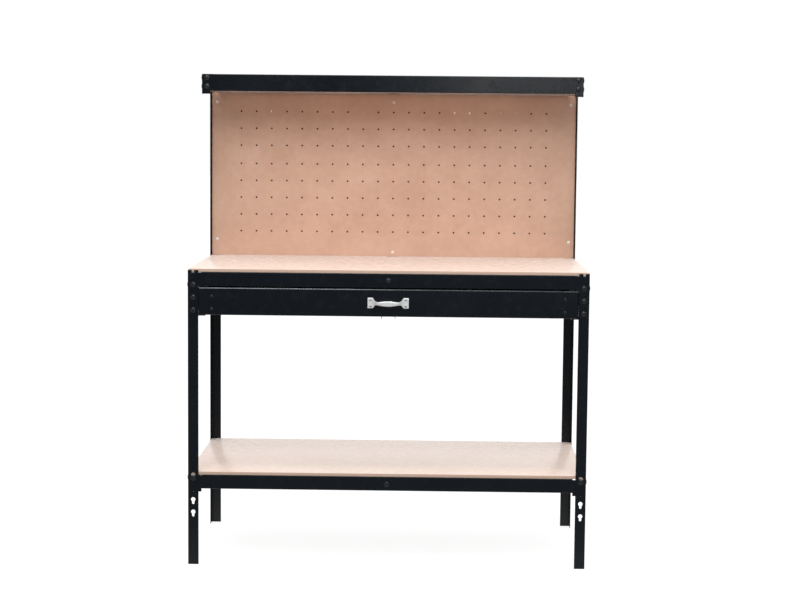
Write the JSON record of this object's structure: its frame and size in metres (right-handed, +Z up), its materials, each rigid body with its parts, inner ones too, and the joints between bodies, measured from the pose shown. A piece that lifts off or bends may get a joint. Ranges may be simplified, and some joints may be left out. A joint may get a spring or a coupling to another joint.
{
  "type": "workbench",
  "caption": "Workbench on slotted angle legs with a board worktop, a wide drawer on rollers, a low shelf, a pegboard at the back and a shallow tray above it.",
  "frame": {"origin": "on the floor, under the middle of the box around the whole bench with its handle and its screw ends", "axes": "+X to the right of a person who stands at the drawer, +Y from the drawer towards the pegboard, +Z up"},
  "size_m": [1.206, 0.6384, 1.485],
  "materials": {
    "black_steel": "black powder coat, semi gloss",
    "black_bolt": "black plated bolts and screws with low domed heads",
    "raw_board": "tan pressed fibreboard, unfinished",
    "bright_plate": "bright plated bow handle",
    "zinc_plate": "zinc plated nuts, rivets, pins and runners",
    "white_nylon": "white nylon rollers"
  },
  "bodies": {
    "bench": {"cabinet_roller_pins": "zinc_plate", "cabinet_runner_left": "zinc_plate", "cabinet_runner_right": "zinc_plate", "drawer_hanger_left": "black_steel", "drawer_hanger_right": "black_steel", "frame_bolts": "black_bolt", "frame_nuts": "zinc_plate", "joint_plate_left": "black_steel", "joint_plate_right": "black_steel", "leg_front_left": "black_steel", "leg_front_right": "black_steel", "leg_rear_left": "black_steel", "leg_rear_right": "black_steel", "lower_front_beam": "black_steel", "lower_rear_beam": "black_steel", "lower_shelf_board": "raw_board", "lower_side_beam_left": "black_steel", "lower_side_beam_right": "black_steel", "pegboard": "raw_board", "pegboard_nuts": "zinc_plate", "pegboard_screws": "zinc_plate", "pegboard_strut": "black_steel", "post_left": "black_steel", "post_right": "black_steel", "runner_rivets": "zinc_plate", "shelf_brace": "black_steel", "strut_nut": "zinc_plate", "top_corner_left": "black_steel", "top_corner_right": "black_steel", "top_shelf_board": "raw_board", "tray_front_beam": "black_steel", "tray_rear_beam": "black_steel", "tray_side_beam_left": "black_steel", "tray_side_beam_right": "black_steel", "upper_front_beam": "black_steel", "upper_rear_beam": "black_steel", "upper_side_beam_left": "black_steel", "upper_side_beam_right": "black_steel", "worktop_board": "raw_board", "worktop_brace": "black_steel"},
    "drawer": {"drawer_back": "black_steel", "drawer_bottom": "black_steel", "drawer_front": "black_steel", "drawer_handle": "bright_plate", "drawer_rail_left": "zinc_plate", "drawer_rail_right": "zinc_plate", "drawer_roller_pins": "zinc_plate", "drawer_side_left": "black_steel", "drawer_side_right": "black_steel", "drawer_stiffener": "black_steel", "front_panel_nuts": "zinc_plate", "front_panel_screws": "black_bolt", "handle_nuts": "zinc_plate", "handle_screws": "zinc_plate", "slide_rivets": "zinc_plate"},
    "cabinet_roller_left": {"cabinet_roller_left": "white_nylon"},
    "cabinet_roller_right": {"cabinet_roller_right": "white_nylon"},
    "drawer_roller_left": {"drawer_roller_left": "white_nylon"},
    "drawer_roller_right": {"drawer_roller_right": "white_nylon"}
  },
  "joints": [
    {"name": "drawer_slide", "type": "slide", "parent": "bench", "child": "drawer", "axis": [0, -1, 0], "range_m": [0, 0.3]},
    {"name": "cabinet_roller_left_spin", "type": "hinge", "parent": "bench", "child": "cabinet_roller_left", "pos_m": [-0.5631, -0.25325, 0.7985], "axis": [1, 0, 0], "range_deg": [0, 1725]},
    {"name": "drawer_roller_left_spin", "type": "hinge", "parent": "drawer", "child": "drawer_roller_left", "pos_m": [-0.5631, 0.09375, 0.7945], "axis": [1, 0, 0], "range_deg": [0, 1725]},
    {"name": "cabinet_roller_right_spin", "type": "hinge", "parent": "bench", "child": "cabinet_roller_right", "pos_m": [0.5631, -0.25325, 0.7985], "axis": [1, 0, 0], "range_deg": [0, 1725]},
    {"name": "drawer_roller_right_spin", "type": "hinge", "parent": "drawer", "child": "drawer_roller_right", "pos_m": [0.5631, 0.09375, 0.7945], "axis": [1, 0, 0], "range_deg": [0, 1725]}
  ],
  "couplings": [
    {"joint": "cabinet_roller_left_spin", "follows": "drawer_slide", "rad_per_m": 100},
    {"joint": "drawer_roller_left_spin", "follows": "drawer_slide", "rad_per_m": 100},
    {"joint": "cabinet_roller_right_spin", "follows": "drawer_slide", "rad_per_m": 100},
    {"joint": "drawer_roller_right_spin", "follows": "drawer_slide", "rad_per_m": 100}
  ]
}
